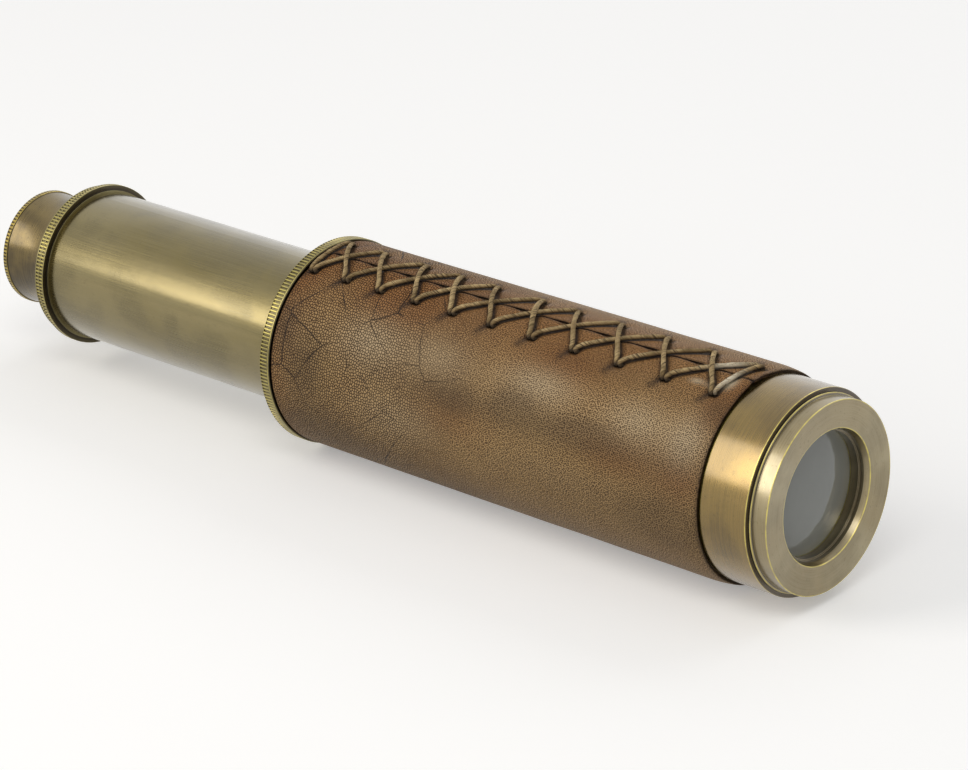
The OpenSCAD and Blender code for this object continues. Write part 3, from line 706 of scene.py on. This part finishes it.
def near_strands(s, arc):
    """How far each point of the sheet lies from the nearest strand that crosses over it."""
    away = np.full(s.shape, np.inf)
    route = lacing_route()
    for (s0, r0, a0, *_), (s1, r1, a1, *_) in zip(route, route[1:]):
        if min(r0, r1) < LEATHER_R:
            continue
        p0 = np.array([s0, (a0 - SEAM) * LEATHER_R])
        p1 = np.array([s1, (a1 - SEAM) * LEATHER_R])
        step = p1 - p0
        t = np.clip(((s - p0[0]) * step[0] + (arc - p0[1]) * step[1]) / (step @ step), 0, 1)
        away = np.minimum(away, np.hypot(s - p0[0] - t * step[0], arc - p0[1] - t * step[1]))
    return away


def sheet_points():
    """The sheet's points by s, arc and side of the seam, close together at the seam and both ends.

    The arc is measured round the leather from the seam.
    """
    near_seam, fine_step, coarse_steps, row_step = 14.0, 0.33, 84, 0.48
    fine = np.arange(0.0, near_seam, fine_step)
    coarse = np.linspace(near_seam, math.pi * LEATHER_R, coarse_steps)
    half = np.concatenate([[0.0, 0.06], fine[1:], coarse])
    arcs = np.concatenate([half, -half[::-1][1:]])
    sides = np.concatenate([np.ones(len(half)), -np.ones(len(half) - 1)])
    length = LEATHER_BACK - LEATHER_FRONT
    front_rows, back_rows = [0.0, 0.08, 0.25], [length - 0.45, length - 0.22, length - 0.08, length]
    rows = np.concatenate([front_rows, np.arange(0.6, length - 0.7, row_step), back_rows])
    s, arc = np.meshgrid(rows + LEATHER_FRONT, arcs, indexing="ij")
    return s, arc, np.broadcast_to(sides[None, :], s.shape)


def punch_holes(s, arc, radius):
    """Sinks a dimple at every hole, and gives the sheet's radius and the dark dirt and painted shade
    round each hole.
    """
    pit_depth, pit_r, dip_depth, dip_r, smudge_r = 0.75, 0.8, 0.25, 2.4, 1.1
    smudge_and_shade = np.zeros_like(s)
    for k in range(STATIONS):
        for row in (-1, 1):
            out = row * arc - HALF_SPREAD * LEATHER_R
            for end in (-1, 1):
                away = np.hypot(s - hole(k, row, end), out)
                radius = radius - pit_depth * mound(away / pit_r) - dip_depth * mound(away / dip_r)
                smudge_and_shade = np.maximum(smudge_and_shade, mound(away / smudge_r))
            # A dark smear of dirt and painted shade runs from each hole away from the seam and a little
            # rearward
            smear_length, smear_back, smear_out, smear_r = 3.2, 1.3, 2.9, 1.2
            back = s - hole(k, row, 1)
            drag = np.clip((0.4 * back + 0.9 * out) / smear_length, 0, 1)
            off = (back - 0.2 - smear_back * drag) ** 2 + (out - smear_out * drag) ** 2
            smudge_and_shade = np.maximum(smudge_and_shade, (1.0 - 0.35 * drag) * fading(off / smear_r**2))
    return radius, smudge_and_shade


def leather_marks(s, arc, away, smudge_and_shade):
    """How the sheet has aged at each point, with painted shade, shadow and sheen, every mark 0 to 1."""
    ahead, behind, width = s - LEATHER_FRONT, LEATHER_BACK - s, np.abs(arc)

    def patches(*spots):
        """Soft patches, each from its middle's s and arc, half length, half width and strength."""
        total = 0.15 * ripple(s * 0.7 + arc * 0.4, 8)
        for middle_s, middle_arc, long, broad, strength in spots:
            reach = ((s - middle_s) / long) ** 2 + ((arc - middle_arc) / broad) ** 2
            total = total + strength * fading(reach)
        return np.clip(total, 0, 1)

    reddened = patches(
        (90, 0, 200, 15, 0.85), (21, -11, 5, 7, 1.0), (25, -31, 7, 6, 0.8), (45, -31, 14, 5, 0.7),
        (71, -13, 15, 6, 0.6), (128, -10, 12, 8, 0.8), (166, 0, 9, 100, 0.75), (100, -34, 12, 6, 0.5),
        (150, 40, 14, 14, 0.7), (40, 34, 14, 10, 0.7),
    )
    # Paler patches, partly rubbed and partly a painted sheen along the middle of the near side
    rubbed = patches(
        (26, -22, 6, 7, 0.95), (42, -21, 10, 6, 0.85), (74, -19.5, 12, 5, 0.9),
        (108, -21, 12, 6, 0.6), (131, -22, 11, 7, 0.85), (64, -41, 18, 6, 0.2),
        (118, -40, 14, 7, 0.5), (90, 26, 34, 10, 0.8),
    )
    # Darker patches, partly dirt and partly painted shade, among them a long band low on the near side
    dulled = patches(
        (80, -26, 6, 4, 0.9), (56, -27, 9, 3.5, 0.8), (152, -34, 8, 10, 1.0), (161, -24, 4, 8, 0.9),
        (28, -44, 12, 8, 0.9), (90, -62, 100, 17, 0.8), (56, -42, 34, 10, 0.5), (100, -30, 7, 4, 0.6),
        (68, -29, 56, 5, 0.8), (150, -52, 20, 8, 0.7), (70, 48, 30, 9, 0.6), (22, -12, 4, 5, 0.7),
        (55, -10, 38, 5, 0.4),
    )
    # Every cut edge is stained dark
    stain = 0.8 * fading(ahead / 0.5) + 0.95 * fading(behind / 0.45) + 0.95 * fading(width / 0.3)
    # Two drops of glue hold the ends of the cord
    drop = np.exp(-(((s - 31.0) / 2.6) ** 2) - ((arc + 5.5) / 0.9) ** 2)
    drop = np.maximum(drop, np.exp(-(((s - 24.0) / 1.6) ** 2) - ((arc + 3.0) / 2.2) ** 2))
    return {
        "crackled": np.clip((s - 92) / 30 + 0.3 * ripple(s * 0.5 + arc * 0.6, 12), 0, 1),
        "reddened": reddened,
        # Stained cut edges, with the dirt and painted shade round the holes
        "smudge_and_shade": np.clip(np.maximum(0.9 * smudge_and_shade, stain), 0, 1),
        "rubbed": rubbed,
        "dulled": dulled,
        # Painted shadow beside each strand that crosses over the sheet
        "pressed": np.clip((1.55 - away) / 0.7, 0, 1) * np.exp(-((width / 9.0) ** 6)),
        "glued": np.clip(drop * (0.5 + 0.9 * ripple(s * 4 + arc * 3, 11)), 0, 0.95),
    }


def make_leather():
    """The sheet round the tube: slit at the seam, drawn in by the lacing, lifted at its front edge."""
    s, arc, side = sheet_points()
    ahead, behind, width = s - LEATHER_FRONT, LEATHER_BACK - s, np.abs(arc)
    away = near_strands(s, arc)
    free = np.clip(away / 2.0, 0, 1)

    # Its front edge is skived, and slopes down to the sleeve
    skive, skive_length = 0.5, 6
    radius = LEATHER_R - skive * (1 - np.clip(ahead / skive_length, 0, 1)) ** 2
    radius, smudge_and_shade = punch_holes(s, arc, radius)
    # The sheet puffs up between the strands, and its edges curl where no strand holds them down
    puff_height, curl_height, strand_depth = 0.32, 0.25, 0.32
    puff = puff_height * np.exp(-((width / 6.6) ** 4)) * (1 - mound(away / 1.6))
    curl = mound(width / 1.8) * curl_height * free
    radius = radius + puff + curl - strand_depth * mound(away / 0.8)
    # It lies in shallow waves along and across
    long_wave, cross_wave = 0.07, 0.06
    radius = radius + long_wave * ripple(s + 7 * np.sin(arc / 30), 3)
    radius = radius + cross_wave * ripple(arc + 0.2 * s, 4)
    # The front edge stands off the sleeve past the top, where the lacing ends
    lift_height = 0.12
    lift = mound((arc - 5.0) / 7.0) * fading(ahead / 3.2)
    radius = radius + lift_height * lift
    # The cut edges are rounded, the rear one most
    front_round, rear_round, seam_round = 0.22, 0.5, 0.2
    radius = radius - front_round * fading(ahead / 0.12) - rear_round * fading(behind / 0.25)
    radius = radius - seam_round * fading(width / 0.12)

    # Half way between two stations the seam gapes most
    least_gap, gape, waver = 0.12, 0.42, 0.06
    stations = np.array([station(k) for k in range(STATIONS)])
    place = np.interp(s, stations, np.arange(STATIONS), left=0, right=LAST)
    held = np.cos(math.pi * place) ** 2
    gap = least_gap + gape * (1 - held) * free + waver * ripple(s, 5)
    shift = np.where(side > 0, gap, -gap) * fading(width / 12)
    turn = SEAM + (arc + shift) / LEATHER_R
    # The front edge isn't cut quite straight
    foremost, cut_waver = LEATHER_FRONT - 0.15, 0.25
    back = np.maximum(s + cut_waver * ripple(arc, 6) * fading(ahead / 2.0), foremost)

    points = np.stack([-back, radius * np.sin(turn), radius * np.cos(turn)], -1).reshape(-1, 3)
    n, m = s.shape
    i, j = np.arange(n - 1)[:, None], np.arange(m - 1)[None, :]
    faces = np.stack([i * m + j, (i + 1) * m + j, (i + 1) * m + j + 1, i * m + j + 1], -1)
    sheet = np.stack([s, arc, 0 * s], -1).reshape(-1, 3) * MM
    marks = leather_marks(s, arc, away, smudge_and_shade)
    piece = make_piece(
        "leather_wrap",
        "barrel",
        [leather],
        points,
        faces.reshape(-1, 4).tolist(),
        {"sheet": sheet, **{key: values.ravel() for key, values in marks.items()}},
        "leather_sheath",
        sharp=60,
    )
    thick = piece.modifiers.new("thickness", "SOLIDIFY")
    thick.thickness = LEATHER_THICK * MM
    thick.offset = -1


def smooth_line(points, step):
    """A Catmull-Rom curve through the points, with a point about every step."""
    points = np.asarray(points, float)
    padded = np.vstack([2 * points[0] - points[1], points, 2 * points[-1] - points[-2]])
    made = []
    for i in range(1, len(padded) - 2):
        p0, p1, p2, p3 = padded[i - 1 : i + 3]
        pieces = max(2, int(np.linalg.norm(p2[:3] - p1[:3]) / step))
        for t in np.arange(pieces) / pieces:
            bend = (2 * p0 - 5 * p1 + 4 * p2 - p3) * t**2 + (3 * p1 - p0 - 3 * p2 + p3) * t**3
            made.append(0.5 * (2 * p1 + (p2 - p0) * t + bend))
    made.append(points[-1])
    return np.array(made)


def tube_faces(n, m, first=0):
    """Faces of a closed tube of n rings of m points each."""
    i, j = np.arange(n - 1)[:, None], np.arange(m)[None, :]
    after = (j + 1) % m
    sides = np.stack([i * m + j, i * m + after, (i + 1) * m + after, (i + 1) * m + j], -1) + first
    caps = [[first + k for k in range(m)][::-1], [first + (n - 1) * m + k for k in range(m)]]
    return sides.reshape(-1, 4).tolist() + caps


# A stray fibre bends at these shares of its length, and its corners lie at these turns round it
FIBRE_BENDS = (0.0, 0.35, 0.7, 1.0)
FIBRE_CORNERS = (0.0, 2.1, 4.2)


def stray_fibre(start, along, out, length, draw):
    """Rings of a thin fibre that leaves the twine at start and curls over."""
    root_r, taper = 0.055, 0.7
    side = np.cross(along, out)
    lean = draw.uniform(-1.4, 1.4)
    sweep = draw.uniform(-0.8, 0.8)
    rings = []
    for t in FIBRE_BENDS:
        way = along * lean * 0.9 + out * (0.6 - 0.45 * t) + side * sweep * t
        centre = start + length * t * way
        thick = root_r * (1 - taper * t)
        for turn in FIBRE_CORNERS:
            rings.append(centre + thick * (math.cos(turn) * side + math.sin(turn) * along))
    return rings


def make_lacing():
    """The twine as one unbroken length of two plies, with stray fibres."""
    point_step, sides, turn_length, fibre_count = 0.3, 16, 2.6, 1500
    route = [(-s, r * math.sin(a), r * math.cos(a), w, t) for s, r, a, w, t in lacing_route()]
    line = smooth_line(route, point_step)
    centre, wide, thin = line[:, :3], line[:, 3], line[:, 4]
    along = np.gradient(centre, axis=0)
    along /= np.linalg.norm(along, axis=1)[:, None]
    # Its broad side lies in line with the barrel, square to its run
    axis = np.array([1.0, 0, 0])
    broad = axis - along * (along @ axis)[:, None]
    broad /= np.linalg.norm(broad, axis=1)[:, None]
    deep = np.cross(along, broad)
    walked = np.concatenate([[0], np.cumsum(np.linalg.norm(np.diff(centre, axis=0), axis=1))])
    # The cord wanders to either side, and is spun thicker here and thinner there
    wander, slow_swell, quick_swell = 0.14, 0.18, 0.2
    centre = centre + broad * (wander * ripple(walked, 21))[:, None]
    around = np.arange(sides) / sides * 2 * math.pi
    twist = walked / turn_length * 2 * math.pi
    local = around[None, :] - twist[:, None]
    ply = np.abs(np.cos(local))
    uneven = 1 + slow_swell * ripple(walked, 22) + quick_swell * ripple(walked * 6, 24)
    groove_share, ply_height = 0.92, 0.05
    shape = (groove_share + ply_height * ply) * uneven[:, None]
    ring = (
        broad[:, None, :] * (wide[:, None] * shape * np.cos(around))[:, :, None]
        + deep[:, None, :] * (thin[:, None] * shape * np.sin(around))[:, :, None]
    )
    points = centre[:, None, :] + ring
    strand = np.stack(
        [np.cos(local) * CORD_R, np.sin(local) * CORD_R, walked[:, None] + 0 * local], -1
    )
    height = np.hypot(points[:, :, 1], points[:, :, 2])
    # Painted shade where the cord sinks towards the leather
    sunk_shade = np.clip((LEATHER_R + 0.9 - height) / 0.8, 0, 1)
    # The top of the cord is worn and carries a painted highlight
    crown = np.clip((height - LEATHER_R - 0.75) / 0.5, 0, 1)
    # Glue has soaked the far half of the first crossing and the near half of the last
    soaked = mound((walked - 16) / 4.5) + mound((walked[-1] - 5 - walked) / 4)
    glued = np.clip(soaked * (0.7 + 0.9 * ripple(walked * 3, 23)), 0, 0.95)
    marks = {
        "crown": crown.ravel(),
        # Painted shade in the grooves between the plies
        "groove": ((1 - ply) ** 2).ravel(),
        "sunk_shade": sunk_shade.ravel(),
        "glued": (glued[:, None] + 0 * ply).ravel(),
    }
    faces = tube_faces(*ply.shape)

    # Stray fibres stand only on what shows, above the leather
    draw = np.random.default_rng(31)
    shown = np.flatnonzero(np.hypot(centre[:, 1], centre[:, 2]) > LEATHER_R + 0.4)
    bends, corners = len(FIBRE_BENDS), len(FIBRE_CORNERS)
    fibres = []
    for _ in range(fibre_count):
        i = shown[draw.integers(len(shown))]
        up = centre[i] * (0, 1, 1)
        up /= np.linalg.norm(up)
        turn = draw.uniform(-1.3, 1.3)
        side = np.cross(along[i], up)
        out = math.cos(turn) * up + math.sin(turn) * side
        root = centre[i] + out * CORD_R * 0.8
        faces += tube_faces(bends, corners, ply.size + bends * corners * len(fibres))
        fibres.append(stray_fibre(root, along[i], out, draw.uniform(0.5, 1.7), draw))
    extra = np.array(fibres).reshape(-1, 3)
    points = np.concatenate([points.reshape(-1, 3), extra])
    strand = np.concatenate([strand.reshape(-1, 3), extra])
    marks = {key: np.concatenate([values, np.zeros(len(extra))]) for key, values in marks.items()}
    make_piece(
        "lacing_twine",
        "barrel",
        [twine],
        points,
        faces,
        {"strand": strand * MM, **marks},
        "lacing_cord",
        sharp=80,
    )


def make_front_ring():
    """The ring round the front lens: a dished face, a stepped mouth and a spigot into the sleeve."""
    face_r, mouth_r, step_r, lip_r = 25, 17.5, 16.8, 16.3
    spigot_r, seat_r = 24, 18.6
    dish, lip_front, flare, shoulder, lip_back, back = 0.55, 3.3, 4.3, 4.9, 6.0, 9.0
    # Painted shade darkens the groove against the sleeve and the walls of the mouth, where the outline
    # gives values below 0
    turn_piece(
        "front_ring",
        "barrel",
        ring_brass,
        "objective_ring",
        [
            (dish, mouth_r), (0, face_r), (flare, face_r), (4.5, 25.5), (shoulder, 25.6, -0.9),
            (shoulder, spigot_r), (back, spigot_r), (back, seat_r), (lip_back, seat_r),
            (lip_back, lip_r), (lip_front, lip_r, -0.6), (lip_front, step_r, -0.6),
            (2.1, step_r, -0.4),
        ],
    )


def make_sleeve():
    """The golden band: a socket for the ring in front, and a spigot into the tube behind."""
    band_r, socket_r, web_r, bore_r, spigot_r, lip_r = 26.7, 24.05, 18.55, 24.3, 25.55, 23.5
    front, socket_end, web_end, band_end, lip, back = 4.9, 9.05, 14.0, 19.0, 28.2, 29.0
    # Painted shade darkens its front face, in the groove against the ring
    turn_piece(
        "front_sleeve",
        "barrel",
        satin_brass,
        "objective_sleeve",
        [
            (front, socket_r, -0.9), (front, 26.5, -0.9), (5.1, band_r), (band_end, band_r),
            (band_end, spigot_r), (back, spigot_r), (back, lip_r), (lip, lip_r), (lip, bore_r),
            (web_end, bore_r), (web_end, web_r), (socket_end, web_r), (socket_end, socket_r),
        ],
        painted=(9.2, 29.2, 25.0),
    )


def make_collar(name, body, node, front, bore_r, outside, knurl, fillet=0.04):
    """A knurled collar: a spigot into its tube, the points outside, and a bore grooved for its felt."""
    lip, groove, groove_depth = 1.8, 10.2, 1.1
    spigot_r, back = outside[0][1], outside[-1][0]
    start, end = front + lip, front + lip + groove
    groove_r = bore_r + groove_depth
    inside = [(back, bore_r), (end, bore_r), (end, groove_r), (start, groove_r), (start, bore_r)]
    outline = [(front, bore_r), (front, spigot_r), *outside, *inside]
    turn_piece(name, body, knurled_brass, node, outline, fillet, knurl)


def make_collars():
    """The end collars of the barrel and of draws 1 and 2."""
    shoulder, spigot_r, knurl_r, back = 164.4, 25.55, 28.45, 167.5
    # Painted shade darkens the collar's front face, in the gap against the leather
    outside = [
        (shoulder, spigot_r), (shoulder, 28.1, -0.9), (164.55, 28.3), (164.62, knurl_r),
        (165.1, knurl_r), (167.38, knurl_r), (167.42, 28.3), (back, 28.15),
    ]
    make_collar(
        "barrel_end_collar",
        "barrel",
        "rear_collar",
        front=150.6,
        bore_r=21.1,
        outside=outside,
        knurl=(165.05, 167.42, knurl_r, 0.24, 0.36),
        fillet=0.05,
    )
    # The collar of draw 1 has a low step before its rim, and painted shade between the two
    shoulder, spigot_r, step_r, knurl_r, rim_r = 258.8, 20.25, 21.65, 23.06, 23.1
    rim_front, rim_back = 259.4, 261.1
    outside = [
        (shoulder, spigot_r, -0.25), (shoulder, step_r, -0.25), (rim_front, step_r, -1.0),
        (rim_front, 22.95, -0.85), (259.5, rim_r), (259.66, rim_r), (259.72, knurl_r),
        (260.78, knurl_r), (260.84, rim_r), (261.0, rim_r), (rim_back, 22.95),
    ]
    make_collar(
        "draw_1_end_collar",
        "draw_1",
        "draw_1_collar",
        front=245.0,
        bore_r=17.6,
        outside=outside,
        knurl=(259.7, 260.8, knurl_r, 0.18, 0.42),
    )
    # The collar of draw 2 ends in a broad chamfer, rubbed bright
    shoulder, spigot_r, knurl_r, rim_r, back = 261.4, 16.75, 22.16, 22.2, 264.7
    outside = [
        (shoulder, spigot_r), (shoulder, 22.05), (261.5, rim_r), (261.66, rim_r), (261.72, knurl_r),
        (263.2, knurl_r), (263.28, rim_r), (263.5, rim_r, 0.5), (back, 21.1, 0.5),
    ]
    make_collar(
        "draw_2_end_collar",
        "draw_2",
        "draw_2_collar",
        front=247.6,
        bore_r=14.4,
        outside=outside,
        knurl=(261.7, 263.23, knurl_r, 0.18, 0.42),
    )


def make_eyecup():
    """The flared cup at the eye: a cove from its foot to its knurled rim, and a dished end."""
    foot_s, rim_s, rim_width, waist_share = 265.0, 283.8, 1.8, 0.36
    foot_r, waist_r, rim_r, eye_r = 16.6, 15.25, 16.5, 5.0
    waist_s = foot_s + waist_share * (rim_s - foot_s)
    spigot_s, spigot_r, bore_r = 253.0, 13.55, 12.65
    bore_end, lens_seat, lens_r = 268.7, 275.7, 8.05
    dish_depth, dish_width, dish_floor_r = 6.4, 9.0, 6.2

    def half_cove(end_s, end_r, shares):
        """One half of the cove, with a share of 0 at its end and 1 at the waist."""
        made = []
        for t in shares:
            rise = 1 - math.sin(math.pi / 2 * t)
            made.append((end_s + (waist_s - end_s) * t, waist_r + (end_r - waist_r) * rise))
        return made

    shares = [i / 12 for i in range(13)]
    cove = half_cove(foot_s, foot_r, shares)
    cove += half_cove(rim_s - rim_width, rim_r - 0.3, shares[-2::-1])
    rim = [
        (282.1, 16.45), (282.25, rim_r), (283.4, rim_r), (283.55, 16.4), (rim_s, 16.1), (rim_s, 15.45),
    ]
    swings = [math.pi / 2 * i / 8 for i in range(9)]
    dish = [
        (rim_s - 0.2 - dish_depth * math.sin(swing), dish_floor_r + dish_width * math.cos(swing))
        for swing in swings
    ]
    front = [(spigot_s, bore_r), (spigot_s, spigot_r), (foot_s, spigot_r)]
    inside = [
        (277.2, eye_r), (lens_seat, eye_r), (lens_seat, lens_r), (bore_end, lens_r), (bore_end, bore_r),
    ]
    turn_piece(
        "flared_eyecup",
        "draw_3",
        antique_brass,
        "eyecup",
        front + cove + rim + dish + inside,
        fillet=0.08,
        knurl=(282.2, 283.45, rim_r, 0.16, 0.48),
    )


make_camera()
make_studio()

# Satin brass under lacquer: a golden band with soft bright streaks round it
satin_brass = brass(
    "satin_lacquered_brass",
    body="#77622c",
    bright="#997b40",
    dark="#52431d",
    edge="#d3c260",
    roughness=0.23,
    tarnish=0.7,
    lacquer=0.9,
)
# Brushed brass that has greyed: a pale soft face with a bright rim
ring_brass = brass(
    "brushed_greyed_brass",
    body="#8a7a54",
    bright="#a39878",
    dark="#6c5d3a",
    edge="#d3c260",
    roughness=0.3,
    tarnish=0.6,
    lacquer=0.9,
)
# Drawn tube, smoky with age: clear reflections broken by fine scratches along it
drawn_brass = brass(
    "drawn_smoky_brass",
    body="#6b5d24",
    bright="#817449",
    dark="#54491e",
    edge="#c8ba60",
    roughness=0.2,
    tarnish=0.6,
    turned=False,
    lacquer=0.9,
)
# Knurled brass: bright bars between gaps of grime and painted shade
knurled_brass = brass(
    "knurled_tarnished_brass",
    body="#756a42",
    bright="#8c835c",
    dark="#4f4527",
    edge="#bfb05c",
    roughness=0.32,
    tarnish=0.5,
    lacquer=0.4,
)
# Antiqued brass: browned all over and rubbed back to gold on its edges
antique_brass = brass(
    "antiqued_brass",
    body="#554726",
    bright="#7e6c40",
    dark="#2b2317",
    edge="#c4ad50",
    roughness=0.24,
    tarnish=0.85,
    lacquer=0.5,
)
# Machined brass inside, without lacquer: plain, dull and even
inner_brass = brass(
    "machined_brass",
    body="#7a6b3c",
    bright="#948556",
    dark="#544725",
    edge="#b0a05c",
    roughness=0.35,
    tarnish=0.6,
)
black_paint = matt_black()
leather = leather_finish()
twine = twine_finish()

# The finish of each of the record's material slots
FINISHES = {
    "satin_brass": satin_brass,
    "polished_brass": drawn_brass,
    "knurled_brass": knurled_brass,
    "antiqued_brass": antique_brass,
    "inner_brass": inner_brass,
    "blackened_brass": black_paint,
    "leather": leather,
    "cord": twine,
    "felt": felt_finish(),
    "foil": foil_finish(),
    "optical_glass": lens_glass(),
}
slots = {part["node"]: part["material_slot"] for part in frame["record"]["subparts"]}
for node, solid in frame["nodes"].items():
    solid.data.materials.clear()
    solid.data.materials.append(FINISHES[slots[node]])

make_front_ring()
make_sleeve()
make_collars()
make_eyecup()
make_leather()
make_lacing()
